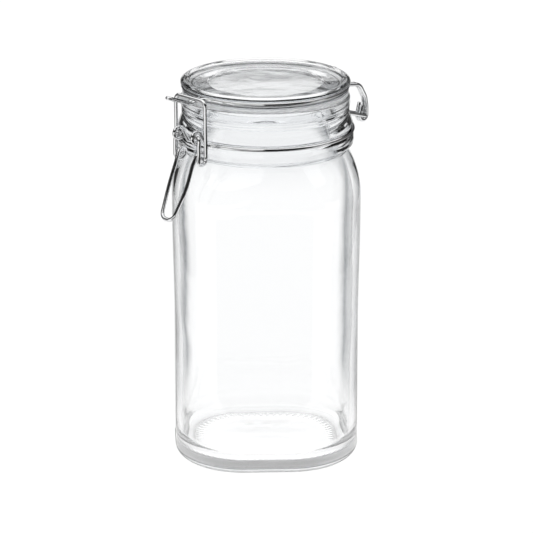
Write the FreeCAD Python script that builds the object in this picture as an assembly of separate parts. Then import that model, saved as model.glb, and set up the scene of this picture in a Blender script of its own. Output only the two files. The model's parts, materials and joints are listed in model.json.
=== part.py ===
import FreeCAD, Part
import math
import os

# Bail clamp jar, in millimetres. The origin is the centre of the flat base, +Z is up, and the
# flat sides face along X and Y. The clamp stands beside one corner of the square body and the
# hinge beside the opposite corner. The wires are laid out in a closure frame: s runs from the
# jar's axis towards the clamp, t runs across it, and z is height. The hinge is at negative s.
CLAMP_HEADING = 220.5

# body
BODY_HALF = 52.5
CORNER_CENTRE = 12.0
HEEL_RADIUS = 8.0
SHOULDER_LOW = 152.0
SHOULDER_HIGH = 177.0
NECK_RADIUS = 45.2
SHOULDER_POWER = 2.35
SHOULDER_SECTIONS = 8
WALL = 3.8
NECK_WALL = 5.9
FLOOR = 6.0
INNER_HEEL_RADIUS = 12.0

# neck and mouth
BEAD_RADIUS = 49.3
BEAD_LOW = 180.6
BEAD_HIGH = 185.4
FLARE_RADIUS = 48.8
FLARE_LOW = 190.3
RIB_RADIUS = 46.2
RIB_PROUD = 0.5
RIB_LOW = 197.6
RIB_STEP = 1.6
LIP_RADIUS = 47.0
LIP_LOW = 201.6
LIP_TOP = 207.4
LIP_EDGE = 1.6
MOUTH_RADIUS = NECK_RADIUS - NECK_WALL

# wires
WIRE = 2.1
WIRE_RADIUS = WIRE / 2
SEAT_GAP = 0.05

# neck wire
NECK_RING = 48.6
NECK_WIRE_Z = 188.0
EYE_T = 7.3
EYE_RADIUS = 3.2
EYE_LEAD_SLOPE = 60.0
EYE_TURN = 275.0
EYE_S, EYE_Z = 57.9, 194.0
EAR_T = 4.0
HINGE_S, HINGE_Z = -75.0, 181.2

# lever
ARM_T = EYE_T + WIRE + 0.2
COIL_T = ARM_T - WIRE - 0.2
COIL_RADIUS = 3.2
COIL_S, COIL_Z = 55.3, 181.8
COIL_LEAVE = 24.0
HOOK_T = 5.7
HANDLE_LEAD = 5.0
HANDLE_MID = (65.4, 7.1, 166.0)
HANDLE_END = (73.5, 4.6, 149.4)

# clasp
LEG_T = ARM_T + WIRE + 0.2
FOOT_T = 6.1
BAR_S, BAR_Z = 55.8, 214.6

# lid wire
LID_RING = 45.8
LID_WIRE_Z = 212.6
STRAND_T = 1.15
NOSE_VALLEY = (56.4, 211.5)
NOSE_TIP = (72.0, 217.4)
STRAND_FLAT = 1.4
HANGER = ((-59.5, 201.6), (-72.0, 199.8), (-76.6, 192.0))
CURL_RADIUS = 2.7
CURL_END = 15.0
PRONGS = (5.8, 7.0)

# lid
LID_UNDER = 209.6
LID_TOP = 216.8
RIM_RADIUS = 47.2
RIM_CREST = 44.3
RIM_FOOT = 42.2
RIM_FOOT_Z = 214.8
RIM_LOW = LID_WIRE_Z + WIRE_RADIUS + SEAT_GAP
FLANGE_RADIUS = 46.3
FLANGE_HIGH = LID_WIRE_Z - WIRE_RADIUS - SEAT_GAP
GROOVE_RADIUS = LID_RING - WIRE_RADIUS - SEAT_GAP
DISH_RADIUS = 31.6
DISH_TOP = 213.7
SEAT_RADIUS = 40.8
SEAT_LOW = 207.9
SEAT_INNER = 38.5
HOLLOW_RADIUS = 31.0

# gasket
GASKET_INNER = SEAT_RADIUS + 0.1
GASKET_OUTER = 46.2
GASKET_LOW = LIP_TOP + 0.2
TAB_ANGLE = 25.0
TAB_WIDTH = 11.0
TAB_REACH = 50.6

HALF_DIAGONAL = math.sqrt(0.5)


def at(s, t, z):
    """A point of the closure frame, in the part's own frame."""
    heading = math.radians(CLAMP_HEADING)
    x = s * math.cos(heading) - t * math.sin(heading)
    y = s * math.sin(heading) + t * math.cos(heading)
    return FreeCAD.Vector(x, y, z)


def ring_point(radius, angle, z):
    """A point of a ring round the jar's axis; the angle is measured from the clamp."""
    turn = math.radians(angle)
    return at(radius * math.cos(turn), radius * math.sin(turn), z)


def line(start, end):
    return Part.LineSegment(start, end).toShape()


def arc(start, middle, end):
    return Part.Arc(start, middle, end).toShape()


def rounded(points, radii):
    """Edges of a path through the points, each inner point rounded to its radius."""
    edges = []
    last = points[0]
    for before, corner, after, radius in zip(points, points[1:], points[2:], radii):
        back = (before - corner).normalize()
        ahead = (after - corner).normalize()
        half = back.getAngle(ahead) / 2
        reach = radius / math.tan(half)
        entry = corner + back * reach
        leave = corner + ahead * reach
        inward = (back + ahead).normalize()
        middle = corner + inward * (radius / math.sin(half) - radius)
        if (entry - last).Length > 0.001:
            edges.append(line(last, entry))
        edges.append(arc(entry, middle, leave))
        last = leave
    if (points[-1] - last).Length > 0.001:
        edges.append(line(last, points[-1]))
    return edges


def mirrored(edges):
    """The same edges on the other side of the closure plane, in reverse order."""
    copies = [edge.mirror(FreeCAD.Vector(0, 0, 0), at(0, 1, 0)) for edge in edges]
    return copies[::-1]


def wire_solid(edges):
    """A round wire swept along the edges."""
    path = Part.Wire(Part.__sortEdges__(edges))
    first = path.OrderedEdges[0]
    start = path.OrderedVertexes[0].Point
    middle = first.CenterOfMass
    if first.Curve.TypeId == "Part::GeomLine":
        heading = (middle - start).normalize()
    else:
        heading = first.tangentAt(first.FirstParameter)
    profile = Part.Wire(Part.makeCircle(WIRE_RADIUS, start, heading))
    solid = path.makePipeShell([profile], True, False)
    expected = math.pi * WIRE_RADIUS ** 2 * path.Length
    print("wire length %.1f, volume ratio %.4f" % (path.Length, solid.Volume / expected))
    return solid


def turn_off(ring_radius, line_t, bend):
    """Where a ring's wire bends outwards into a line beside the closure plane.

    Gives the angle at which it leaves the ring and the s at which it joins the line."""
    reach = ring_radius + bend
    offset = line_t + bend
    return math.degrees(math.asin(offset / reach)), math.sqrt(reach ** 2 - offset ** 2)


def bend_edge(ring_radius, line_t, bend, z, side):
    """The arc between a ring and a line that leaves it outwards, at the front or the back."""
    angle, join_s = turn_off(ring_radius, line_t, bend)
    centre_s, centre_t = join_s, line_t + bend
    lean = math.radians(90 - angle)
    half = math.radians(270) - lean / 2
    middle_s = centre_s + bend * math.cos(half)
    middle_t = centre_t + bend * math.sin(half)
    on_ring = math.radians(angle)
    start = at(side * ring_radius * math.cos(on_ring), ring_radius * math.sin(on_ring), z)
    return arc(start, at(side * middle_s, middle_t, z), at(side * join_s, line_t, z))


def rounded_square(half, centre, z):
    """A closed outline of four sides and four round corners; centre 0 gives a full circle."""
    radius = half - centre
    flat = max(centre, 0.02 * half)
    rise = half - radius + math.sqrt(radius ** 2 - (flat - centre) ** 2)
    diagonal = centre + radius * HALF_DIAGONAL
    edges = []
    for quarter in range(4):
        spin = FreeCAD.Rotation(FreeCAD.Vector(0, 0, 1), 90 * quarter)
        low = spin.multVec(FreeCAD.Vector(rise, -flat, z))
        high = spin.multVec(FreeCAD.Vector(rise, flat, z))
        corner = spin.multVec(FreeCAD.Vector(diagonal, diagonal, z))
        onward = spin.multVec(FreeCAD.Vector(flat, rise, z))
        if rise < half:
            edges.append(arc(low, spin.multVec(FreeCAD.Vector(half, 0, z)), high))
        else:
            edges.append(line(low, high))
        edges.append(arc(high, corner, onward))
    return Part.Wire(edges)


def shoulder_section(step, inset, neck_inset):
    """One outline of the shoulder, from the square body at step 0 to the round neck at step 1."""
    z = SHOULDER_LOW + (SHOULDER_HIGH - SHOULDER_LOW) * step
    centre = CORNER_CENTRE * (1 - step * step * (3 - 2 * step))
    half = BODY_HALF - (BODY_HALF - NECK_RADIUS) * step ** SHOULDER_POWER
    return rounded_square(half - inset - (neck_inset - inset) * step, centre, z)


def body_form(low, inset, neck_inset, heel):
    """The square body and its shoulder as one solid, inset from the outer surface."""
    outline = rounded_square(BODY_HALF - inset, CORNER_CENTRE, low)
    prism = Part.Face(outline).extrude(FreeCAD.Vector(0, 0, SHOULDER_LOW - low))
    around = [edge for edge in prism.Edges if edge.BoundBox.ZMax < low + 0.001]
    prism = prism.makeFillet(heel, around)
    steps = [index / (SHOULDER_SECTIONS - 1) for index in range(SHOULDER_SECTIONS)]
    sections = [shoulder_section(step, inset, neck_inset) for step in steps]
    return prism.fuse(Part.makeLoft(sections, True, False))


def turned(outline):
    """A solid of revolution about the jar's axis. The outline's points are radius and height,
    and a point with a third number is rounded to that radius."""
    corners = [FreeCAD.Vector(point[0], 0, point[1]) for point in outline]
    radii = [point[2] if len(point) > 2 else 0 for point in outline]
    edges = []
    count = len(corners)
    ends = []
    for index in range(count):
        corner = corners[index]
        back = (corners[index - 1] - corner).normalize()
        ahead = (corners[(index + 1) % count] - corner).normalize()
        radius = radii[index]
        half = back.getAngle(ahead) / 2
        reach = radius / math.tan(half)
        middle = corner + (back + ahead).normalize() * (radius / math.sin(half) - radius)
        ends.append((corner + back * reach, middle, corner + ahead * reach, radius))
    for index in range(count):
        entry, middle, leave, radius = ends[index]
        if radius:
            edges.append(arc(entry, middle, leave))
        edges.append(line(leave, ends[(index + 1) % count][0]))
    face = Part.Face(Part.Wire(edges))
    return face.revolve(FreeCAD.Vector(0, 0, 0), FreeCAD.Vector(0, 0, 1), 360)


def jar_body():
    """The glass jar, hollow, with its neck groove for the wire."""
    groove = NECK_RING - WIRE_RADIUS - SEAT_GAP
    outside = [
        (0, SHOULDER_HIGH),
        (NECK_RADIUS, SHOULDER_HIGH),
        (NECK_RADIUS + 0.4, SHOULDER_HIGH + 0.9, 0.6),
        (BEAD_RADIUS - 0.4, BEAD_LOW - 0.6, 1.0),
        (BEAD_RADIUS, (BEAD_LOW + BEAD_HIGH) / 2, 4.0),
        (BEAD_RADIUS - 0.4, BEAD_HIGH, 0.7),
        (groove, NECK_WIRE_Z - WIRE_RADIUS, 0.8),
        (groove, NECK_WIRE_Z + WIRE_RADIUS, 0.8),
        (FLARE_RADIUS, FLARE_LOW, 0.5),
    ]
    for rib in range(3):
        z = RIB_LOW + rib * RIB_STEP
        outside.append((RIB_RADIUS, z, 0.2))
        outside.append((RIB_RADIUS + RIB_PROUD, z + RIB_STEP / 2, 0.2))
    outside += [
        (RIB_RADIUS, LIP_LOW, 0.3),
        (LIP_RADIUS, LIP_LOW + 0.9, 0.8),
        (LIP_RADIUS, LIP_TOP, LIP_EDGE),
        (0, LIP_TOP),
    ]
    solid = body_form(0, 0, 0, HEEL_RADIUS).fuse(turned(outside))
    mouth = [
        (0, SHOULDER_HIGH - 0.01),
        (MOUTH_RADIUS, SHOULDER_HIGH - 0.01),
        (MOUTH_RADIUS, LIP_TOP - 2.0, 4.0),
        (MOUTH_RADIUS + 1.6, LIP_TOP + 0.5),
        (0, LIP_TOP + 0.5),
    ]
    cavity = body_form(FLOOR, WALL, NECK_WALL, INNER_HEEL_RADIUS).fuse(turned(mouth))
    return solid.cut(cavity).removeSplitter()


def lid():
    """The glass lid: rim, dished middle, groove for its wire, seat for the sealing ring."""
    return turned([
        (0, LID_UNDER - 0.2),
        (HOLLOW_RADIUS, LID_UNDER - 0.2, 30.0),
        (SEAT_INNER, SEAT_LOW, 15.0),
        (SEAT_RADIUS, SEAT_LOW, 0.5),
        (SEAT_RADIUS, LID_UNDER),
        (FLANGE_RADIUS, LID_UNDER, 0.5),
        (FLANGE_RADIUS, FLANGE_HIGH, 0.5),
        (GROOVE_RADIUS, FLANGE_HIGH),
        (GROOVE_RADIUS, RIM_LOW),
        (RIM_RADIUS, RIM_LOW, 0.4),
        (RIM_RADIUS, LID_TOP - 1.0, 1.2),
        (RIM_CREST, LID_TOP, 1.2),
        (RIM_FOOT, RIM_FOOT_Z, 1.0),
        (DISH_RADIUS + 0.8, DISH_TOP + 0.5, 0.4),
        (DISH_RADIUS, DISH_TOP - 0.2, 0.35),
        (0, DISH_TOP),
    ])


def gasket():
    """The flat sealing ring with its pull tab."""
    thick = LID_UNDER - GASKET_LOW
    lift = FreeCAD.Vector(0, 0, GASKET_LOW)
    ring = Part.makeCylinder(GASKET_OUTER, thick, lift)
    tab = Part.makeBox(TAB_REACH - TAB_WIDTH / 2, TAB_WIDTH, thick, FreeCAD.Vector(0, -TAB_WIDTH / 2, 0))
    end = Part.makeCylinder(TAB_WIDTH / 2, thick, FreeCAD.Vector(TAB_REACH - TAB_WIDTH / 2, 0, 0))
    tab = tab.fuse(end)
    tab.rotate(FreeCAD.Vector(0, 0, 0), FreeCAD.Vector(0, 0, 1), CLAMP_HEADING - TAB_ANGLE)
    tab.translate(lift)
    hole = Part.makeCylinder(GASKET_INNER, thick + 2, lift - FreeCAD.Vector(0, 0, 1))
    return ring.fuse(tab).cut(hole).removeSplitter()


def half_ring(radius, z, front_angle, back_angle):
    """The part of a ring on the near side, between its two turn-offs."""
    far = 180 - back_angle
    middle = (front_angle + far) / 2
    ends = [ring_point(radius, angle, z) for angle in (front_angle, middle, far)]
    return arc(*ends)


def neck_wire():
    """The wire round the neck: two eyes in front, the hinge ear behind."""
    eye_bend, ear_bend = 2.0, 3.5
    front_angle, front_s = turn_off(NECK_RING, EYE_T, eye_bend)
    back_angle, back_s = turn_off(NECK_RING, EAR_T, ear_bend)
    touch = math.radians(90 + EYE_LEAD_SLOPE)

    def eye(turn):
        return at(EYE_S + EYE_RADIUS * math.cos(turn), EYE_T, EYE_Z + EYE_RADIUS * math.sin(turn))

    touch_s = EYE_S + EYE_RADIUS * math.cos(touch)
    touch_z = EYE_Z + EYE_RADIUS * math.sin(touch)
    foot_s = touch_s - (touch_z - NECK_WIRE_Z) / math.tan(math.radians(EYE_LEAD_SLOPE))
    lead = rounded([at(front_s, EYE_T, NECK_WIRE_Z), at(foot_s, EYE_T, NECK_WIRE_Z), eye(touch)], [2.2])
    sweep = math.radians(EYE_TURN)
    loop = arc(eye(touch), eye(touch - sweep / 2), eye(touch - sweep))
    front = bend_edge(NECK_RING, EYE_T, eye_bend, NECK_WIRE_Z, 1)
    side = half_ring(NECK_RING, NECK_WIRE_Z, front_angle, back_angle)
    back = bend_edge(NECK_RING, EAR_T, ear_bend, NECK_WIRE_Z, -1)
    ear_points = [
        at(-back_s, EAR_T, NECK_WIRE_Z),
        at(-back_s - 1.2, EAR_T, NECK_WIRE_Z),
        at(HINGE_S, EAR_T, HINGE_Z),
        at(HINGE_S, 0, HINGE_Z),
    ]
    ear = rounded(ear_points, [4.0, 1.9])
    near = [loop] + lead[::-1] + [front, side, back] + ear
    return wire_solid(near + mirrored(near))


def lever():
    """The lever: hooked ends, arms, one coil each side, and a long rounded handle."""
    outer_s = COIL_S + COIL_RADIUS
    between_t = (ARM_T + COIL_T) / 2
    arm = rounded([
        at(EYE_S, HOOK_T, EYE_Z),
        at(EYE_S, ARM_T, EYE_Z),
        at(outer_s, ARM_T, COIL_Z + 7.5),
        at(outer_s, ARM_T, COIL_Z),
    ], [1.9, 8.0])
    under = arc(
        at(outer_s, ARM_T, COIL_Z),
        at(COIL_S, (ARM_T + between_t) / 2, COIL_Z - math.hypot(COIL_RADIUS, (ARM_T - between_t) / 2)),
        at(COIL_S - COIL_RADIUS, between_t, COIL_Z),
    )

    outward = at(COIL_RADIUS, (COIL_T - between_t) / 2, 0)
    upward = FreeCAD.Vector(0, 0, outward.Length)
    centre = at(COIL_S, (COIL_T + between_t) / 2, COIL_Z)
    leave = math.radians(COIL_LEAVE)
    top = (math.pi + leave) / 2

    def over_coil(turn):
        return centre + outward * math.cos(turn) + upward * math.sin(turn)

    over = arc(over_coil(math.pi), over_coil(top), over_coil(leave))
    onward = (outward * math.sin(leave) - upward * math.cos(leave)).normalize()
    handle = rounded([
        over_coil(leave),
        over_coil(leave) + onward * HANDLE_LEAD,
        at(*HANDLE_MID),
        at(*HANDLE_END),
        at(HANDLE_END[0], 0, HANDLE_END[2]),
    ], [12.0, 60.0, 4.3])
    near = arm + [under, over] + handle
    return wire_solid(near + mirrored(near))


def clasp():
    """The bail over the lid's nose, its feet turned in through the lever's coils."""
    near = rounded([
        at(COIL_S, FOOT_T, COIL_Z),
        at(COIL_S, LEG_T, COIL_Z),
        at(BAR_S, LEG_T, BAR_Z),
        at(BAR_S, 0, BAR_Z),
    ], [2.0, 3.2])
    return wire_solid(near + mirrored(near))


def lid_wire():
    """The wire round the lid: folded nose in front, two hooked ends on the hinge bar behind."""
    bend = 6.2
    angle, join_s = turn_off(LID_RING, STRAND_T, bend)
    nose = rounded([
        at(join_s, STRAND_T, LID_WIRE_Z),
        at(join_s + STRAND_FLAT, STRAND_T, LID_WIRE_Z),
        at(NOSE_VALLEY[0], STRAND_T, NOSE_VALLEY[1]),
        at(NOSE_TIP[0], STRAND_T, NOSE_TIP[1]),
        at(NOSE_TIP[0], 0, NOSE_TIP[1]),
    ], [6.0, 6.0, STRAND_T])
    front = bend_edge(LID_RING, STRAND_T, bend, LID_WIRE_Z, 1)
    side = half_ring(LID_RING, LID_WIRE_Z, angle, angle)
    back = bend_edge(LID_RING, STRAND_T, bend, LID_WIRE_Z, -1)
    ends = [wire_end(join_s, length) for length in PRONGS]
    near = nose[::-1] + [front, side, back]
    return wire_solid(near + ends[0] + mirrored(near + ends[1]))


def wire_end(join_s, prong):
    """From the lid's groove down to the hinge bar, round it, and up into a short prong."""
    outer_s = HINGE_S - CURL_RADIUS
    points = [at(-join_s, STRAND_T, LID_WIRE_Z), at(-join_s - STRAND_FLAT, STRAND_T, LID_WIRE_Z)]
    points += [at(s, STRAND_T, z) for s, z in HANGER]
    points += [at(outer_s, STRAND_T, HINGE_Z + 5.0), at(outer_s, STRAND_T, HINGE_Z)]
    drop = rounded(points, [2.4, 5.0, 6.0, 9.0, 14.0])
    turns = [math.radians(180 + part * (180 + CURL_END)) for part in (0, 0.5, 1)]
    curl = arc(*[
        at(HINGE_S + CURL_RADIUS * math.cos(turn), STRAND_T, HINGE_Z + CURL_RADIUS * math.sin(turn))
        for turn in turns
    ])
    lean = math.radians(CURL_END)
    root_s = HINGE_S + CURL_RADIUS * math.cos(lean)
    root_z = HINGE_Z + CURL_RADIUS * math.sin(lean)
    top = at(root_s - prong * math.sin(lean), STRAND_T, root_z + prong * math.cos(lean))
    return drop + [curl, line(at(root_s, STRAND_T, root_z), top)]


NODES = {
    "jar_body": jar_body,
    "lid": lid,
    "gasket": gasket,
    "neck_wire": neck_wire,
    "lever": lever,
    "clasp": clasp,
    "lid_wire": lid_wire,
}

os.makedirs("parts", exist_ok=True)
for name, build in NODES.items():
    shape = build()
    box = shape.BoundBox
    print("%s valid %s, solids %d, volume %.0f" % (name, shape.isValid(), len(shape.Solids), shape.Volume))
    print("  x %.2f..%.2f  y %.2f..%.2f  z %.2f..%.2f" % (
        box.XMin, box.XMax, box.YMin, box.YMax, box.ZMin, box.ZMax))
    shape.exportStep("parts/" + name + ".step")
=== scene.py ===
import json
import math

import bpy
import numpy as np
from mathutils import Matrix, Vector, noise


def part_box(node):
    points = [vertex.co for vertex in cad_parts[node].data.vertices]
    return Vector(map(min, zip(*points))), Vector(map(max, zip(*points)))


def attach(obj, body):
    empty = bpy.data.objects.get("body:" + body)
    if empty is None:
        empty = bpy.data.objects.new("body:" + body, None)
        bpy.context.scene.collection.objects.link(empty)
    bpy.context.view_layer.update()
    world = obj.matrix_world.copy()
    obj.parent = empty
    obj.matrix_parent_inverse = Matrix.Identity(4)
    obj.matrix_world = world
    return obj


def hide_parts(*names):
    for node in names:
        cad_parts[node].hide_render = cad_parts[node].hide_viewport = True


# Bail clamp jar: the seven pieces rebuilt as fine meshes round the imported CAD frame, in metres.
# Glass pieces are lathed or lofted closed shells, and each wire is swept along one smooth path.
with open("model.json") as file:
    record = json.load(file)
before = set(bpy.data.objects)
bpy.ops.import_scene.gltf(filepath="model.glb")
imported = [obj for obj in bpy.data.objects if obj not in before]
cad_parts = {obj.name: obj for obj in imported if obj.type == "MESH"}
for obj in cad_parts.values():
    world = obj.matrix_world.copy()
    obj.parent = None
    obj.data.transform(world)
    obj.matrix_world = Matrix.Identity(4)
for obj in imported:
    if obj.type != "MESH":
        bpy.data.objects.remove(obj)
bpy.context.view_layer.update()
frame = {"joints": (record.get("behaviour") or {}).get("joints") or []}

MM = 0.001
UP = np.array((0.0, 0.0, 1.0))

# Closure frame, read from the joints: s runs from the jar's axis towards the clamp, t runs
# across the closure plane and z is height. The hinge is at negative s.
joints = {joint["name"]: joint for joint in frame["joints"]}
ACROSS = -np.array(joints["lid_hinge"]["axis"], float)
AHEAD = np.cross(ACROSS, UP)


def closure_place(joint):
    """The s and z of a joint's axis."""
    place = np.array(joints[joint]["pos_m"], float)
    return float(place @ AHEAD), float(place[2])


HINGE_S, HINGE_Z = closure_place("lid_hinge")
EYE_S, EYE_Z = closure_place("lever_lift")
COIL_S, COIL_Z = closure_place("clasp_swing")

# jar body
INSIDE_BOX = 0.01 * MM
BODY_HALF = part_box("jar_body")[1].x - INSIDE_BOX
LIP_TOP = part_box("jar_body")[1].z
CORNER_CENTRE = 12.0 * MM
FOOT_NARROWING = 1.0 * MM
NARROW_BELOW, FULL_ABOVE = 80.0 * MM, 142.0 * MM
HEEL_RADIUS = 7.6 * MM
SHOULDER_LOW, SHOULDER_HIGH = 152.0 * MM, 177.0 * MM
SHOULDER_POWER = 2.35
NECK_RADIUS = 45.2 * MM
WALL, NECK_WALL = 3.8 * MM, 5.9 * MM
FLOOR_THICKNESS = 6.0 * MM
INNER_HEEL = 12.0 * MM
PUSH_UP = 2.4 * MM
INNER_DOME = 1.4 * MM
KNURL_INNER, KNURL_OUTER = 36.6 * MM, 40.8 * MM
KNURL_DEPTH = 0.3 * MM
KNURL_COUNT, KNURL_PITCH, KNURL_DASH = 72, 8, 3
WAVE_DEPTH, WAVE_ACROSS, WAVE_UP = 0.22 * MM, 26.0, 15.0
BODY_COLUMNS = KNURL_PITCH * KNURL_COUNT
HEEL_STEPS, WALL_STEPS, SHOULDER_STEPS = 16, 26, 30
BOTTOM_STEPS, FLOOR_STEPS = 52, 14
CORNER_EASING = (-0.05, -0.025, 0.0, 0.025, 0.05)

# neck
BEAD_RADIUS, BEAD_LOW, BEAD_HIGH = 49.3 * MM, 180.6 * MM, 185.4 * MM
FLARE_RADIUS, FLARE_LOW = 48.8 * MM, 190.3 * MM
RIB_RADIUS, RIB_PROUD = 46.2 * MM, 0.5 * MM
RIB_LOW, RIB_STEP = 197.6 * MM, 1.6 * MM
LIP_RADIUS, LIP_LOW, LIP_EDGE = 47.0 * MM, 201.6 * MM, 1.6 * MM
MOUTH_RADIUS = NECK_RADIUS - NECK_WALL

# wires
WIRE_RADIUS = 1.05 * MM
SEAT_GAP = 0.05 * MM
WIRE_SIDES = 24
TURN_STEP = math.radians(4)

NECK_RING, NECK_WIRE_Z = 48.6 * MM, 188.0 * MM
EYE_T, EYE_RADIUS = 7.3 * MM, 3.2 * MM
EYE_LEAD_SLOPE, EYE_TURN = math.radians(60), math.radians(275)
EYE_BEND, EAR_BEND = 2.0 * MM, 3.5 * MM
EAR_T = 4.0 * MM

ARM_T, COIL_T = 9.6 * MM, 7.3 * MM
COIL_RADIUS = 3.2 * MM
COIL_LEAVE = math.radians(24)
HOOK_T = 5.7 * MM
ARM_FALL = 7.5 * MM
HANDLE_LEAD = 5.0 * MM
HANDLE_MID = (65.4 * MM, 7.1 * MM, 166.0 * MM)
HANDLE_END = (73.5 * MM, 4.6 * MM, 149.4 * MM)

LEG_T, FOOT_T = 11.9 * MM, 6.1 * MM
BAR_S, BAR_Z = 55.8 * MM, 214.6 * MM

LID_RING, LID_WIRE_Z = 45.8 * MM, 212.6 * MM
STRAND_T, STRAND_FLAT, STRAND_BEND = 1.15 * MM, 1.4 * MM, 6.2 * MM
NOSE_VALLEY = (56.4 * MM, 211.5 * MM)
NOSE_TIP = (72.0 * MM, 217.4 * MM)
HANGER = ((-59.5 * MM, 201.6 * MM), (-72.0 * MM, 199.8 * MM), (-76.6 * MM, 192.0 * MM))
CURL_RADIUS, CURL_END = 2.7 * MM, math.radians(15)
CURL_DROP = 5.0 * MM
PRONGS = (5.8 * MM, 7.0 * MM)

# lid
LID_UNDER, LID_TOP = 209.6 * MM, 216.8 * MM
RIM_RADIUS, RIM_CREST = 47.2 * MM, 44.3 * MM
RIM_FOOT, RIM_FOOT_Z = 42.2 * MM, 214.8 * MM
FLANGE_RADIUS = 46.3 * MM
GROOVE_RADIUS = LID_RING - WIRE_RADIUS - SEAT_GAP
DISH_RADIUS, DISH_TOP = 31.6 * MM, 213.7 * MM
SEAT_RADIUS, SEAT_LOW = 40.8 * MM, 207.9 * MM
SEAT_INNER, HOLLOW_RADIUS = 38.5 * MM, 31.0 * MM
LID_COLUMNS = 288

# gasket
GASKET_INNER, GASKET_OUTER = 40.9 * MM, 46.2 * MM
GASKET_LOW = 207.6 * MM
TAB_ANGLE = math.radians(25)
TAB_HALF_WIDTH, TAB_REACH = 5.5 * MM, 50.6 * MM
GASKET_EDGE, GASKET_RIB = 0.5 * MM, 0.12 * MM
GASKET_COLUMNS = 432

# heights between which the jar's glass changes: its stippled roughness, its painted edge shade and its
# painted neck grey
STIPPLE_RANGE, STIPPLE_ROUGHNESS = (2.8 * MM, 3.8 * MM), 0.40
FOOT_RANGE = (14 * MM, 50 * MM)
NECK_RANGE = (160 * MM, 184 * MM)


# ---------------------------------------------------------------- paths and outlines

def at(s, t, z):
    """A point of the closure frame, in the part's own frame."""
    return AHEAD * s + ACROSS * t + UP * z


def arc(centre, first, second, start, end):
    """Points on an arc: centre + first * cos + second * sin, from start to end."""
    count = max(2, math.ceil(abs(end - start) / TURN_STEP) + 1)
    turns = np.linspace(start, end, count)[:, None]
    return centre + np.cos(turns) * first + np.sin(turns) * second


def rounded(points, radii):
    """Points along a path with each inner corner rounded to its radius."""
    corners = [np.asarray(point, float) for point in points]
    path = [corners[0][None]]
    for before, corner, after, radius in zip(corners, corners[1:], corners[2:], radii):
        back = (before - corner) / np.linalg.norm(before - corner)
        on = (after - corner) / np.linalg.norm(after - corner)
        half = math.acos(np.clip(back @ on, -1, 1)) / 2
        inward = (back + on) / np.linalg.norm(back + on)
        centre = corner + inward * radius / math.sin(half)
        outward = -inward * radius
        along = (on - back) / np.linalg.norm(on - back) * radius
        sweep = math.pi / 2 - half
        path.append(arc(centre, outward, along, -sweep, sweep))
    path.append(corners[-1][None])
    return joined(path)


def joined(pieces):
    """One path from several, without doubled points."""
    points = np.concatenate(pieces)
    gaps = np.linalg.norm(np.diff(points, axis=0), axis=1)
    return points[np.concatenate(([True], gaps > 0.01 * MM))]


def mirrored(path):
    """The path on to its end at the closure plane, then back along its mirror image."""
    across = path @ ACROSS
    image = path - 2 * across[:, None] * ACROSS
    return joined([path, image[::-1]])


def outline(corners):
    """A radius and height outline; a corner's third number is its rounding radius."""
    points = [np.array((corner[0], 0.0, corner[1])) for corner in corners]
    radii = [corner[2] if len(corner) > 2 else 0.0 for corner in corners]
    path = [points[0][None]]
    for index in range(1, len(points) - 1):
        if radii[index]:
            three = [points[index - 1], points[index], points[index + 1]]
            path.append(rounded(three, [radii[index]])[1:-1])
        else:
            path.append(points[index][None])
    path.append(points[-1][None])
    line = np.concatenate(path)
    return line[:, [0, 2]]


def spaced(line, step):
    """The outline with its long runs divided into steps."""
    pieces = []
    for start, end in zip(line, line[1:]):
        count = max(1, math.ceil(np.linalg.norm(end - start) / step))
        pieces.append(start + (end - start) * np.linspace(0, 1, count, endpoint=False)[:, None])
    pieces.append(line[-1:])
    return np.concatenate(pieces)


# ---------------------------------------------------------------- meshes

def make_piece(name, verts, faces, body, node, material):
    """A smooth-shaded piece that rides on a body and stands for a CAD node."""
    mesh = bpy.data.meshes.new(name)
    mesh.from_pydata([tuple(vert) for vert in verts], [], faces)
    mesh.validate()
    mesh.shade_smooth()
    mesh.materials.append(material)
    piece = bpy.data.objects.new(name, mesh)
    bpy.context.scene.collection.objects.link(piece)
    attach(piece, body)
    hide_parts(node)
    return piece


def grid_faces(rows, columns, closed_rows=False):
    """Quads of a grid whose columns run round and close on themselves."""
    faces = []
    last = rows if closed_rows else rows - 1
    for row in range(last):
        here, above = row * columns, (row + 1) % rows * columns
        for column in range(columns):
            side = (column + 1) % columns
            faces.append((here + column, here + side, above + side, above + column))
    return faces


def poled_shell(rings, first_pole, last_pole):
    """Verts and faces of a closed shell: rings of points between two end points."""
    rows, columns, _ = rings.shape
    verts = np.concatenate((rings.reshape(-1, 3), [first_pole, last_pole]))
    faces = grid_faces(rows, columns)
    first, last = rows * columns, rows * columns + 1
    top = (rows - 1) * columns
    for column in range(columns):
        side = (column + 1) % columns
        faces.append((first, side, column))
        faces.append((last, top + column, top + side))
    return verts, faces


def swept_wire(path):
    """Verts and faces of a round wire with a small chamfer at each cut end."""
    heading = np.gradient(path, axis=0)
    heading /= np.linalg.norm(heading, axis=1)[:, None]
    normal = np.cross(heading[0], (0.31, 0.52, 0.79))
    normal /= np.linalg.norm(normal)
    normals = [normal]
    for tangent in heading[1:]:
        normal = normals[-1] - tangent * (normals[-1] @ tangent)
        normals.append(normal / np.linalg.norm(normal))
    normals = np.array(normals)
    beside = np.cross(heading, normals)
    around = np.linspace(0, 2 * math.pi, WIRE_SIDES, endpoint=False)[None, :, None]
    rim = np.cos(around) * normals[:, None] + np.sin(around) * beside[:, None]
    rings = path[:, None] + rim * WIRE_RADIUS
    chamfer = 0.35 * WIRE_RADIUS
    start = path[0] + rim[0] * (WIRE_RADIUS - chamfer)
    end = path[-1] + rim[-1] * (WIRE_RADIUS - chamfer)
    rings[0] += heading[0] * chamfer
    rings[-1] -= heading[-1] * chamfer
    rings = np.concatenate(([start], rings, [end]))
    return poled_shell(rings, path[0], path[-1])


# ---------------------------------------------------------------- the jar's outer form

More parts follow.
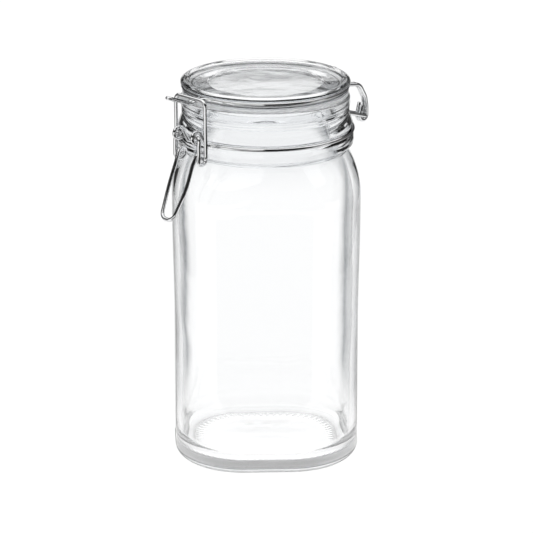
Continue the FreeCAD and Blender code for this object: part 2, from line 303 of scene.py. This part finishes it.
def polar_square(angles, half, centre):
    """Distance from the axis to a square outline with round corners, at each angle."""
    turned = np.abs((angles + math.pi / 4) % (math.pi / 2) - math.pi / 4)
    flat = half / np.cos(turned)
    on_corner = flat * np.sin(turned) > centre
    c, s = np.cos(turned), np.sin(turned)
    radius = half - centre
    corner = centre * (c + s) + np.sqrt(np.maximum(radius ** 2 - centre ** 2 * (c - s) ** 2, 0))
    return np.where(on_corner, corner, flat)


def smooth(value, low, high):
    """0 below low, 1 above high, easing between them."""
    share = np.clip((value - low) / (high - low), 0, 1)
    return share * share * (3 - 2 * share)


def narrowing(z):
    """How much narrower than its shoulder the body is at a height."""
    return FOOT_NARROWING * (1 - smooth(z, NARROW_BELOW, FULL_ABOVE))


def section(z, inset, neck_inset):
    """Half width and corner centre of the body at a height, inset from the outer surface."""
    step = np.clip((z - SHOULDER_LOW) / (SHOULDER_HIGH - SHOULDER_LOW), 0, 1)
    half = BODY_HALF - narrowing(z) - (BODY_HALF - NECK_RADIUS) * step ** SHOULDER_POWER
    half = half - inset - (neck_inset - inset) * step
    return half, CORNER_CENTRE * (1 - smooth(step, 0, 1))


def body_levels(low, inset, neck_inset, heel):
    """Half width, corner centre and height up one side, from the edge of the flat bottom."""
    levels = []
    side_half, centre = section(low + heel, inset, neck_inset)
    for turn in np.linspace(0, math.pi / 2, HEEL_STEPS):
        half = side_half - heel + heel * math.sin(turn)
        levels.append((half, centre, low + heel - heel * math.cos(turn)))
    walls = np.linspace(low + heel, SHOULDER_LOW, WALL_STEPS)[1:]
    shoulder = np.linspace(SHOULDER_LOW, SHOULDER_HIGH, SHOULDER_STEPS)[1:]
    for z in np.concatenate((walls, shoulder)):
        half, centre = section(z, inset, neck_inset)
        levels.append((half, centre, z))
    return levels


def ring(half, centre, z, columns):
    """One closed ring of points of the body, with the ends of its corner arcs eased."""
    angles = np.linspace(0, 2 * math.pi, columns, endpoint=False)
    radius = sum(polar_square(angles + nudge, half, centre) for nudge in CORNER_EASING)
    radius *= half / radius[0]
    return np.stack((radius * np.cos(angles), radius * np.sin(angles), np.full(columns, z)), axis=1)


NECK_OUTLINE = [
    (NECK_RADIUS, SHOULDER_HIGH),
    (NECK_RADIUS + 0.4 * MM, SHOULDER_HIGH + 0.9 * MM, 0.6 * MM),
    (BEAD_RADIUS - 0.4 * MM, BEAD_LOW - 0.6 * MM, 1.0 * MM),
    (BEAD_RADIUS, (BEAD_LOW + BEAD_HIGH) / 2, 4.0 * MM),
    (BEAD_RADIUS - 0.4 * MM, BEAD_HIGH, 0.7 * MM),
    (NECK_RING - WIRE_RADIUS - SEAT_GAP, NECK_WIRE_Z - WIRE_RADIUS, 0.8 * MM),
    (NECK_RING - WIRE_RADIUS - SEAT_GAP, NECK_WIRE_Z + WIRE_RADIUS, 0.8 * MM),
    (FLARE_RADIUS, FLARE_LOW, 0.5 * MM),
]
for rib in range(3):
    rib_z = RIB_LOW + rib * RIB_STEP
    NECK_OUTLINE.append((RIB_RADIUS, rib_z, 0.2 * MM))
    NECK_OUTLINE.append((RIB_RADIUS + RIB_PROUD, rib_z + RIB_STEP / 2, 0.2 * MM))
NECK_OUTLINE += [
    (RIB_RADIUS, LIP_LOW, 0.3 * MM),
    (LIP_RADIUS, LIP_LOW + 0.9 * MM, 0.8 * MM),
    (LIP_RADIUS, LIP_TOP, LIP_EDGE),
    (MOUTH_RADIUS + 1.2 * MM, LIP_TOP, 1.0 * MM),
    (MOUTH_RADIUS, LIP_TOP - 2.4 * MM, 2.2 * MM),
    (MOUTH_RADIUS, SHOULDER_HIGH),
]


def waved(rings):
    """Blown glass: the surface wanders in and out a little, in long soft waves."""
    for level in rings:
        for point in level:
            x, y, z = point
            depth = noise.noise(Vector((x * WAVE_ACROSS, y * WAVE_ACROSS, z * WAVE_UP)))
            point[:2] *= 1 - WAVE_DEPTH * abs(depth) * 2 / math.hypot(point[0], point[1])
    return rings


def bottom_levels(flat_half, rise, steps):
    """Half widths and heights from near the middle of a bottom to the edge of its flat."""
    shares = np.linspace(0.03, 1, steps, endpoint=False)
    return [(flat_half * share, rise * (1 - smooth(share, 0.05, 0.86))) for share in shares]


def jar_body(material):
    """The jar as one closed shell: bottom, outside, neck, mouth and inside."""
    outside = body_levels(0.0, 0.0, 0.0, HEEL_RADIUS)
    inside = body_levels(FLOOR_THICKNESS, WALL, NECK_WALL, INNER_HEEL)
    corner_share = outside[0][1] / outside[0][0]

    bottom = []
    dashes = np.arange(BODY_COLUMNS) % KNURL_PITCH < KNURL_DASH
    for half, rise in bottom_levels(outside[0][0], PUSH_UP, BOTTOM_STEPS):
        z = rise + KNURL_DEPTH * smooth(half, KNURL_OUTER, KNURL_INNER)
        level = ring(half, corner_share * half, z, BODY_COLUMNS)
        if KNURL_INNER < half < KNURL_OUTER:
            level[:, 2] += np.where(dashes, 0.0, KNURL_DEPTH)
        bottom.append(level)

    neck_line = spaced(outline(NECK_OUTLINE), 1.0 * MM)[1:-1]
    neck = [ring(radius, 0, z, BODY_COLUMNS) for radius, z in neck_line]
    outer = [ring(half, centre, z, BODY_COLUMNS) for half, centre, z in outside]
    inner = waved([ring(half, centre, z, BODY_COLUMNS) for half, centre, z in inside])
    floor_share = inside[0][1] / inside[0][0]
    floor_rings = [
        ring(half, floor_share * half, FLOOR_THICKNESS + rise, BODY_COLUMNS)
        for half, rise in bottom_levels(inside[0][0], INNER_DOME, FLOOR_STEPS)
    ]
    rings = np.array(bottom + outer + neck + inner[::-1] + floor_rings[::-1])
    under_middle = (0, 0, PUSH_UP + KNURL_DEPTH)
    verts, faces = poled_shell(rings, under_middle, (0, 0, FLOOR_THICKNESS + INNER_DOME))
    return make_piece("jar_glass_body", verts, faces, "jar", "jar_body", material)


# ---------------------------------------------------------------- lid and gasket

def lid(material):
    """The lid, turned from its outline, from the middle of its underside round to its top."""
    under = LID_UNDER - 0.2 * MM
    rim_low = LID_WIRE_Z + WIRE_RADIUS + SEAT_GAP
    flange_high = LID_WIRE_Z - WIRE_RADIUS - SEAT_GAP
    corners = [
        (0.6 * MM, under + 0.25 * MM),
        (18 * MM, under + 0.15 * MM, 60 * MM),
        (HOLLOW_RADIUS, under, 30.0 * MM),
        (SEAT_INNER, SEAT_LOW, 15.0 * MM),
        (SEAT_RADIUS, SEAT_LOW, 0.5 * MM),
        (SEAT_RADIUS, LID_UNDER),
        (FLANGE_RADIUS, LID_UNDER, 0.5 * MM),
        (FLANGE_RADIUS, flange_high, 0.5 * MM),
        (GROOVE_RADIUS, flange_high),
        (GROOVE_RADIUS, rim_low),
        (RIM_RADIUS, rim_low, 0.4 * MM),
        (RIM_RADIUS, LID_TOP - 1.4 * MM, 1.4 * MM),
        (RIM_CREST, LID_TOP, 2.2 * MM),
        (RIM_FOOT, RIM_FOOT_Z, 1.0 * MM),
        (DISH_RADIUS + 0.8 * MM, DISH_TOP + 0.4 * MM, 0.6 * MM),
        (DISH_RADIUS, DISH_TOP - 0.1 * MM, 0.5 * MM),
        (16 * MM, DISH_TOP - 0.1 * MM, 60 * MM),
        (0.6 * MM, DISH_TOP - 0.05 * MM),
    ]
    profile = spaced(outline(corners), 1.2 * MM)
    rings = np.array([ring(radius, 0, z, LID_COLUMNS) for radius, z in profile])
    verts, faces = poled_shell(rings, (0, 0, profile[0][1]), (0, 0, profile[-1][1]))
    return make_piece("lid_glass_disc", verts, faces, "lid", "lid", material)


def gasket(material):
    """The sealing ring: a flat band with fine ribs on both faces and a lens-shaped pull tab."""
    heading = math.atan2(AHEAD[1], AHEAD[0]) - TAB_ANGLE
    angles = np.linspace(0, 2 * math.pi, GASKET_COLUMNS, endpoint=False)
    centre = TAB_REACH - TAB_HALF_WIDTH
    across = centre * np.sin(angles)
    reach = centre * np.cos(angles) + np.sqrt(np.maximum(TAB_HALF_WIDTH ** 2 - across ** 2, 0))
    on_tab = (np.abs(across) < TAB_HALF_WIDTH) & (np.cos(angles) > 0)
    outer = np.where(on_tab, np.maximum(reach, GASKET_OUTER), GASKET_OUTER)
    side_low, side_high = GASKET_LOW + GASKET_EDGE, LID_UNDER - GASKET_EDGE
    shares = np.linspace(0.08, 0.92, 25)
    dips = [GASKET_RIB * (index % 4 in (1, 2)) for index in range(len(shares))]
    top = [(share, LID_UNDER - dip) for share, dip in zip(shares, dips)]
    below = [(share, GASKET_LOW + dip) for share, dip in zip(shares, dips)]
    section_points = [(0, side_low), (0, side_high), *top, (1, side_high), (1, side_low), *below[::-1]]
    turned = angles + heading
    rings = []
    for share, z in section_points:
        radius = GASKET_INNER + (outer - GASKET_INNER) * share
        level = (radius * np.cos(turned), radius * np.sin(turned), np.full_like(angles, z))
        rings.append(np.stack(level, axis=1))
    verts = np.concatenate(rings)
    faces = grid_faces(len(rings), GASKET_COLUMNS, closed_rows=True)
    faces = [face[::-1] for face in faces]
    return make_piece("sealing_ring", verts, faces, "lid", "gasket", material)


# ---------------------------------------------------------------- wires

def turn_off(ring_radius, line_t, bend):
    """Angle at which a wire leaves its ring for a line beside the closure plane, and the
    s at which its bend meets that line."""
    reach, offset = ring_radius + bend, line_t + bend
    return math.asin(offset / reach), math.sqrt(reach ** 2 - offset ** 2)


def bend_path(ring_radius, line_t, bend, z, side):
    """The bend from the line in to the ring, at the front (side 1) or the back (side -1)."""
    angle, join_s = turn_off(ring_radius, line_t, bend)
    centre = at(side * join_s, line_t + bend, z)
    return arc(centre, AHEAD * side * bend, ACROSS * bend, math.radians(270), math.pi + angle)


def side_of_ring(ring_radius, z, front, back):
    """The half of a ring on one side, between its two turn-offs."""
    return arc(UP * z, AHEAD * ring_radius, ACROSS * ring_radius, front, math.pi - back)


def neck_wire(material):
    """From one eye, round the neck to the hinge ear, and back round to the other eye."""
    front_angle, front_s = turn_off(NECK_RING, EYE_T, EYE_BEND)
    back_angle, back_s = turn_off(NECK_RING, EAR_T, EAR_BEND)
    touch = math.pi / 2 + EYE_LEAD_SLOPE
    eye = arc(at(EYE_S, EYE_T, EYE_Z), AHEAD * EYE_RADIUS, UP * EYE_RADIUS, touch - EYE_TURN, touch)
    touch_s = EYE_S + EYE_RADIUS * math.cos(touch)
    touch_z = EYE_Z + EYE_RADIUS * math.sin(touch)
    foot_s = touch_s - (touch_z - NECK_WIRE_Z) / math.tan(EYE_LEAD_SLOPE)
    lead = rounded([eye[-1], at(foot_s, EYE_T, NECK_WIRE_Z), at(front_s, EYE_T, NECK_WIRE_Z)], [2.2 * MM])
    ear = rounded([
        at(-back_s, EAR_T, NECK_WIRE_Z),
        at(-back_s - 1.2 * MM, EAR_T, NECK_WIRE_Z),
        at(HINGE_S, EAR_T, HINGE_Z),
        at(HINGE_S, 0, HINGE_Z),
    ], [4.0 * MM, 1.9 * MM])
    near = joined([
        eye,
        lead,
        bend_path(NECK_RING, EYE_T, EYE_BEND, NECK_WIRE_Z, 1),
        side_of_ring(NECK_RING, NECK_WIRE_Z, front_angle, back_angle),
        bend_path(NECK_RING, EAR_T, EAR_BEND, NECK_WIRE_Z, -1)[::-1],
        ear,
    ])
    verts, faces = swept_wire(mirrored(near))
    return make_piece("neck_ring_wire", verts, faces, "jar", "neck_wire", material)


def lever(material):
    """From one hook down the arm, through its coil, round the handle and back up."""
    outer_s = COIL_S + COIL_RADIUS
    arm = rounded([
        at(EYE_S, HOOK_T, EYE_Z),
        at(EYE_S, ARM_T, EYE_Z),
        at(outer_s, ARM_T, COIL_Z + ARM_FALL),
        at(outer_s, ARM_T, COIL_Z),
    ], [1.9 * MM, 8.0 * MM])
    sweep = 2 * math.pi - COIL_LEAVE
    count = math.ceil(sweep / TURN_STEP)
    coil = np.array([
        at(COIL_S + COIL_RADIUS * math.cos(turn), ARM_T + (COIL_T - ARM_T) * turn / sweep,
           COIL_Z - COIL_RADIUS * math.sin(turn))
        for turn in np.linspace(0, sweep, count)
    ])
    leaving = coil[-1] - coil[-2]
    leaving /= np.linalg.norm(leaving)
    handle = rounded([
        coil[-1],
        coil[-1] + leaving * HANDLE_LEAD,
        at(*HANDLE_MID),
        at(*HANDLE_END),
        at(HANDLE_END[0], 0, HANDLE_END[2]),
    ], [12.0 * MM, 60.0 * MM, 4.3 * MM])
    verts, faces = swept_wire(mirrored(joined([arm, coil, handle])))
    return make_piece("lever_wire", verts, faces, "lever", "lever", material)


def clasp(material):
    """From one foot up the leg, across the bar that catches the nose, and down again."""
    near = rounded([
        at(COIL_S, FOOT_T, COIL_Z),
        at(COIL_S, LEG_T, COIL_Z),
        at(BAR_S, LEG_T, BAR_Z),
        at(BAR_S, 0, BAR_Z),
    ], [2.0 * MM, 3.2 * MM])
    verts, faces = swept_wire(mirrored(near))
    return make_piece("clasp_wire", verts, faces, "clasp", "clasp", material)


def lid_wire(material):
    """From one end at the hinge bar, round the lid, out and back along the nose, to the other."""
    angle, join_s = turn_off(LID_RING, STRAND_T, STRAND_BEND)
    nose = rounded([
        at(join_s, STRAND_T, LID_WIRE_Z),
        at(join_s + STRAND_FLAT, STRAND_T, LID_WIRE_Z),
        at(NOSE_VALLEY[0], STRAND_T, NOSE_VALLEY[1]),
        at(NOSE_TIP[0], STRAND_T, NOSE_TIP[1]),
        at(NOSE_TIP[0], 0, NOSE_TIP[1]),
    ], [6.0 * MM, 6.0 * MM, STRAND_T])
    front = bend_path(LID_RING, STRAND_T, STRAND_BEND, LID_WIRE_Z, 1)
    side = side_of_ring(LID_RING, LID_WIRE_Z, angle, angle)
    back = bend_path(LID_RING, STRAND_T, STRAND_BEND, LID_WIRE_Z, -1)[::-1]
    halves = [joined([nose[::-1], front, side, back, wire_end(join_s, prong)]) for prong in PRONGS]
    other = halves[1] - 2 * (halves[1] @ ACROSS)[:, None] * ACROSS
    verts, faces = swept_wire(joined([halves[0][::-1], other]))
    return make_piece("lid_ring_wire", verts, faces, "lid", "lid_wire", material)


def wire_end(join_s, prong):
    """From the lid's groove down to the hinge bar, round it, and up into a short prong."""
    outer_s = HINGE_S - CURL_RADIUS
    points = [at(-join_s, STRAND_T, LID_WIRE_Z), at(-join_s - STRAND_FLAT, STRAND_T, LID_WIRE_Z)]
    points += [at(s, STRAND_T, z) for s, z in HANGER]
    points += [at(outer_s, STRAND_T, HINGE_Z + CURL_DROP), at(outer_s, STRAND_T, HINGE_Z)]
    drop = rounded(points, [radius * MM for radius in (2.4, 5.0, 6.0, 9.0, 14.0)])
    centre = at(HINGE_S, STRAND_T, HINGE_Z)
    curl = arc(centre, AHEAD * CURL_RADIUS, UP * CURL_RADIUS, math.pi, 2 * math.pi + CURL_END)
    rise = UP * math.cos(CURL_END) - AHEAD * math.sin(CURL_END)
    return joined([drop, curl, (curl[-1] + rise * prong)[None]])


# ---------------------------------------------------------------- materials

def node_material(name):
    """A new material, its nodes, its links and its shader."""
    material = bpy.data.materials.new(name)
    material.use_nodes = True
    nodes = material.node_tree.nodes
    return material, nodes, material.node_tree.links, nodes["Principled BSDF"]


def add_node(nodes, kind, **inputs):
    """A new node with some of its inputs set."""
    node = nodes.new(kind)
    for name, value in inputs.items():
        node.inputs[name.replace("_", " ")].default_value = value
    return node


def eased_range(nodes, links, value, low, high):
    """A node output that eases from 0 at low to 1 at high."""
    node = add_node(nodes, "ShaderNodeMapRange", From_Min=low, From_Max=high)
    node.interpolation_type = "SMOOTHSTEP"
    links.new(value, node.inputs["Value"])
    return node.outputs["Result"]


def blend(nodes, links, factor, first, second):
    """A node output that goes from the first colour to the second."""
    node = nodes.new("ShaderNodeMix")
    node.data_type = "RGBA"
    links.new(factor, node.inputs["Factor"])
    for socket, colour in (("A", first), ("B", second)):
        if isinstance(colour, tuple):
            node.inputs[socket].default_value = (*colour, 1)
        else:
            links.new(colour, node.inputs[socket])
    return node.outputs["Result"]


def add_waves(nodes, links, shader, place, scale, detail, strength, distance):
    """Noise that bends the surface's normal."""
    waves = add_node(nodes, "ShaderNodeTexNoise", Scale=scale, Detail=detail)
    links.new(place.outputs["Object"], waves.inputs["Vector"])
    bump = add_node(nodes, "ShaderNodeBump", Strength=strength, Distance=distance)
    links.new(waves.outputs["Fac"], bump.inputs["Height"])
    links.new(bump.outputs["Normal"], shader.inputs["Normal"])


def clear_glass(name, wave_scale, wave_depth, absorb):
    """The start of a moulded glass: clear, softly wavy, a little grey in its thickness."""
    material, nodes, links, shader = node_material(name)
    shader.inputs["Transmission Weight"].default_value = 1.0
    shader.inputs["IOR"].default_value = 1.5
    place = nodes.new("ShaderNodeTexCoord")
    add_waves(nodes, links, shader, place, wave_scale, 2.0, wave_depth, 0.001)
    volume = add_node(nodes, "ShaderNodeVolumeAbsorption", Density=absorb)
    volume.inputs["Color"].default_value = (0.80, 0.83, 0.86, 1)
    links.new(volume.outputs["Volume"], nodes["Material Output"].inputs["Volume"])
    return material, nodes, links, shader, place


def jar_glass(name):
    """The jar's glass: painted shade where it turns away from view, painted grey in the neck, clear
    in the foot, with a stippled underside."""
    material, nodes, links, shader, place = clear_glass(name, 34.0, 0.16, 2.0)
    split = nodes.new("ShaderNodeSeparateXYZ")
    links.new(place.outputs["Object"], split.inputs["Vector"])
    height = split.outputs["Z"]
    above_foot = eased_range(nodes, links, height, *FOOT_RANGE)
    in_neck = eased_range(nodes, links, height, *NECK_RANGE)

    # painted shade: the glass's clear colour greys through the neck
    clear = blend(nodes, links, in_neck, (0.995, 0.998, 1.0), (0.89, 0.90, 0.91))
    # painted shade: the glass's colour darkens where it turns away from view, dark above the foot,
    # lighter grey in the neck, not at all in the foot
    edge = blend(nodes, links, above_foot, (1.0, 1.0, 1.0), (0.06, 0.07, 0.08))
    edge = blend(nodes, links, in_neck, edge, (0.36, 0.38, 0.40))
    facing = add_node(nodes, "ShaderNodeLayerWeight", Blend=0.5)
    painted_edge_shade_mask = eased_range(nodes, links, facing.outputs["Facing"], 0.42, 0.89)
    links.new(blend(nodes, links, painted_edge_shade_mask, clear, edge), shader.inputs["Base Color"])

    low, high = STIPPLE_RANGE
    stipple = add_node(
        nodes, "ShaderNodeMapRange", From_Min=low, From_Max=high, To_Min=STIPPLE_ROUGHNESS, To_Max=0.0)
    links.new(height, stipple.inputs["Value"])
    links.new(stipple.outputs["Result"], shader.inputs["Roughness"])
    return material


def lid_glass(name):
    """The lid's glass: pressed rather than blown, so a little duller, with painted shade where it turns
    edge on.
    """
    material, nodes, links, shader, place = clear_glass(name, 50.0, 0.25, 12.0)
    shader.inputs["Roughness"].default_value = 0.08
    facing = add_node(nodes, "ShaderNodeLayerWeight", Blend=0.5)
    painted_edge_shade_mask = eased_range(nodes, links, facing.outputs["Facing"], 0.60, 1.0)
    # painted shade: the lid's colour turns grey where its surface turns edge on
    tone = blend(nodes, links, painted_edge_shade_mask, (1.0, 1.0, 1.0), (0.28, 0.30, 0.32))
    links.new(tone, shader.inputs["Base Color"])
    return material


def drawn_steel(name):
    """Bright drawn stainless wire: a faint cloudiness, fine drawing marks and a dark edge tint that
    paints shade along its edges.
    """
    material, nodes, links, shader = node_material(name)
    shader.inputs["Metallic"].default_value = 1.0
    place = nodes.new("ShaderNodeTexCoord")

    tone = add_node(nodes, "ShaderNodeTexNoise", Scale=120.0, Detail=4.0)
    links.new(place.outputs["Object"], tone.inputs["Vector"])
    steel_colour = blend(nodes, links, tone.outputs["Fac"], (0.72, 0.73, 0.74), (0.92, 0.92, 0.92))
    links.new(steel_colour, shader.inputs["Base Color"])
    # painted shade: a dark edge tint darkens the wire's reflection towards its edges
    shader.inputs["Specular Tint"].default_value = (0.10, 0.10, 0.11, 1)

    cloud = add_node(nodes, "ShaderNodeTexNoise", Scale=420.0, Detail=5.0)
    links.new(place.outputs["Object"], cloud.inputs["Vector"])
    rough = add_node(nodes, "ShaderNodeMapRange", To_Min=0.05, To_Max=0.14)
    links.new(cloud.outputs["Fac"], rough.inputs["Value"])
    links.new(rough.outputs["Result"], shader.inputs["Roughness"])
    add_waves(nodes, links, shader, place, 1900.0, 3.0, 0.25, 0.00002)
    return material


def silicone(name):
    """Translucent satin sealing rubber with a fine moulded grain."""
    material, nodes, links, shader = node_material(name)
    shader.inputs["Transmission Weight"].default_value = 0.9
    shader.inputs["IOR"].default_value = 1.41
    shader.inputs["Roughness"].default_value = 0.3
    place = nodes.new("ShaderNodeTexCoord")
    tone = add_node(nodes, "ShaderNodeTexNoise", Scale=90.0, Detail=3.0)
    links.new(place.outputs["Object"], tone.inputs["Vector"])
    seal_colour = blend(nodes, links, tone.outputs["Fac"], (0.84, 0.85, 0.86), (0.94, 0.95, 0.96))
    links.new(seal_colour, shader.inputs["Base Color"])
    add_waves(nodes, links, shader, place, 1500.0, 2.0, 0.2, 0.00005)
    return material


body_glass = jar_glass("clear_jar_glass")
top_glass = lid_glass("clear_lid_glass")
steel = drawn_steel("drawn_stainless_wire")
seal = silicone("translucent_silicone")

for piece in (jar_body(body_glass), lid(top_glass), gasket(seal)):
    # clear pieces let the studio's light through to the floor
    piece.visible_shadow = False
    piece.visible_diffuse = False
neck_wire(steel)
lever(steel)
clasp(steel)
lid_wire(steel)


# ---------------------------------------------------------------- floor, light and camera

FLOOR_RADIUS, FLOOR_SIDES = 12.0, 96
FLOOR_TONE = 0.9
FLOOR_HEIGHT = -0.02 * MM
CARD_LIFT = 1 * MM
DARK_TONE, SIDE_TONE = 0.02, 0.12
SIDE_CARD_AWAY, SIDE_CARD_FRONT, SIDE_CARD_BACK, SIDE_CARD_HIGH = 0.36, -0.06, 0.90, 0.42
FRONT_CARD_AWAY, FRONT_CARD_LEFT, FRONT_CARD_RIGHT, FRONT_CARD_HIGH = 0.76, -0.06, 1.30, 1.60
SHELF_HEIGHT = 0.155
SHELF_CORNERS = ((-0.03, -0.20), (0.45, -0.20), (0.45, -0.055), (-0.03, -0.055))
PANEL_CORNERS = (
    (-0.126, -0.132),
    (-0.427, -0.389),
    (-0.15, -0.58),
    (0.12, -0.60),
    (0.35, -0.465),
    (0.102, -0.151),
)
CURTAIN_RADIUS, CURTAIN_PLEATS = 3.0, 96
CURTAIN_LEVELS = (0.50, 0.98, 1.34, 2.10)
# panels of the curtain's middle level, behind the jar
CURTAIN_GAP = range(CURTAIN_PLEATS + 20, CURTAIN_PLEATS + 28)
WORLD_WHITE = 1.16

CAMERA_AZIMUTH, CAMERA_ELEVATION = math.radians(-2.5), math.radians(17.54)
CAMERA_DISTANCE, CAMERA_LENS = 1.9852, 238.3
CAMERA_AIM_HEIGHT, CAMERA_AIM_SIDE = 0.10653, 0.00059

# the glowing plate of painted light under the base, and the dark ring of painted shadow round it
PLATE_HALF, CONTACT_HALF = 43.5 * MM, 55.5 * MM
PLATE_HEIGHT, PLATE_LIGHT = -0.01 * MM, 1.3


def floor():
    """A plain pale studio floor, just under the jar's base."""
    mesh = bpy.data.meshes.new("studio_floor")
    angles = np.linspace(0, 2 * math.pi, FLOOR_SIDES, endpoint=False)
    verts = [(FLOOR_RADIUS * math.cos(angle), FLOOR_RADIUS * math.sin(angle), 0) for angle in angles]
    mesh.from_pydata(verts, [], [range(FLOOR_SIDES)])
    material, _, _, shader = node_material("pale_floor")
    shader.inputs["Base Color"].default_value = (FLOOR_TONE, FLOOR_TONE, FLOOR_TONE, 1)
    shader.inputs["Roughness"].default_value = 0.9
    shader.inputs["Specular IOR Level"].default_value = 0.1
    mesh.materials.append(material)
    disc = bpy.data.objects.new("studio_floor", mesh)
    disc.location.z = FLOOR_HEIGHT
    bpy.context.scene.collection.objects.link(disc)


def dark_card(name, verts, faces, tone=DARK_TONE):
    """A dark card that only shows as a reflection in glass and wire."""
    mesh = bpy.data.meshes.new(name)
    mesh.from_pydata(verts, [], faces)
    material, _, _, shader = node_material(name)
    shader.inputs["Base Color"].default_value = (tone, tone, tone, 1)
    shader.inputs["Specular IOR Level"].default_value = 0.0
    mesh.materials.append(material)
    card = bpy.data.objects.new(name, mesh)
    card.visible_camera = False
    card.visible_diffuse = False
    card.visible_transmission = False
    card.visible_shadow = False
    bpy.context.scene.collection.objects.link(card)


def standing_card(name, start, end, high, tone):
    """A dark card that stands on the floor between two points of the plan."""
    verts = [(*start, CARD_LIFT), (*end, CARD_LIFT), (*end, high), (*start, high)]
    dark_card(name, verts, [range(4)], tone)


def lying_card(name, corners, height):
    """A dark card that lies level in front of the jar."""
    dark_card(name, [(x, y, height) for x, y in corners], [range(len(corners))])


def contact_ring():
    """A dark ring where the heel meets the floor, which a jar's own shadow would darken."""
    rings = [
        ring(half, CORNER_CENTRE, PLATE_HEIGHT, BODY_COLUMNS)
        for half in (PLATE_HALF, CONTACT_HALF)
    ]
    dark_card("contact_ring", np.concatenate(rings).tolist(), grid_faces(2, BODY_COLUMNS))


def light_plate():
    """A softly glowing plate under the jar, painted light that shows only through its glass."""
    mesh = bpy.data.meshes.new("light_plate")
    edge = ring(PLATE_HALF, CORNER_CENTRE, PLATE_HEIGHT, BODY_COLUMNS)
    mesh.from_pydata(edge.tolist(), [], [range(BODY_COLUMNS)])
    material, _, _, shader = node_material("light_plate")
    shader.inputs["Base Color"].default_value = (0, 0, 0, 1)
    shader.inputs["Specular IOR Level"].default_value = 0.0
    # painted light: the glow that shows through the base
    shader.inputs["Emission Color"].default_value = (1, 1, 1, 1)
    shader.inputs["Emission Strength"].default_value = PLATE_LIGHT
    mesh.materials.append(material)
    plate = bpy.data.objects.new("light_plate", mesh)
    plate.visible_camera = False
    plate.visible_diffuse = False
    plate.visible_shadow = False
    bpy.context.scene.collection.objects.link(plate)


def curtain():
    """A dark band that hangs all the way round the studio, above the horizon, with a gap in its
    middle level behind the jar that lights the lid's dish."""
    angles = np.linspace(0, 2 * math.pi, CURTAIN_PLEATS, endpoint=False)
    verts = [
        (CURTAIN_RADIUS * math.cos(angle), CURTAIN_RADIUS * math.sin(angle), z)
        for z in CURTAIN_LEVELS for angle in angles
    ]
    panels = grid_faces(len(CURTAIN_LEVELS), CURTAIN_PLEATS)
    hung = [panel for index, panel in enumerate(panels) if index not in CURTAIN_GAP]
    dark_card("curtain", verts, hung)


def studio_world():
    """An even white surround, which is the only light."""
    world = bpy.data.worlds.new("studio")
    bpy.context.scene.world = world
    world.use_nodes = True
    background = world.node_tree.nodes["Background"]
    background.inputs["Color"].default_value = (1, 1, 1, 1)
    background.inputs["Strength"].default_value = WORLD_WHITE


def camera():
    """The camera: nearly square on to the jar's front face, looking down on it."""
    flat = math.cos(CAMERA_ELEVATION)
    back = Vector((
        math.sin(CAMERA_AZIMUTH) * flat,
        -math.cos(CAMERA_AZIMUTH) * flat,
        math.sin(CAMERA_ELEVATION),
    ))
    aim = Vector((
        CAMERA_AIM_SIDE * math.cos(CAMERA_AZIMUTH),
        CAMERA_AIM_SIDE * math.sin(CAMERA_AZIMUTH),
        CAMERA_AIM_HEIGHT,
    ))
    data = bpy.data.cameras.new("camera")
    data.sensor_width = 36
    data.lens = CAMERA_LENS
    data.clip_end = 40
    viewer = bpy.data.objects.new("camera", data)
    viewer.location = aim + back * CAMERA_DISTANCE
    viewer.rotation_euler = (-back).to_track_quat("-Z", "Y").to_euler()
    bpy.context.scene.collection.objects.link(viewer)
    bpy.context.scene.camera = viewer


floor()
for name, away in (("card_left", -SIDE_CARD_AWAY), ("card_right", SIDE_CARD_AWAY)):
    standing_card(name, (away, SIDE_CARD_FRONT), (away, SIDE_CARD_BACK), SIDE_CARD_HIGH, SIDE_TONE)
front_left, front_right = (FRONT_CARD_LEFT, -FRONT_CARD_AWAY), (FRONT_CARD_RIGHT, -FRONT_CARD_AWAY)
standing_card("card_front", front_left, front_right, FRONT_CARD_HIGH, DARK_TONE)
lying_card("shelf_front", SHELF_CORNERS, SHELF_HEIGHT)
lying_card("panel_front", PANEL_CORNERS, CARD_LIFT)
curtain()
contact_ring()
light_plate()
studio_world()
camera()
bpy.context.scene.view_settings.view_transform = "Standard"
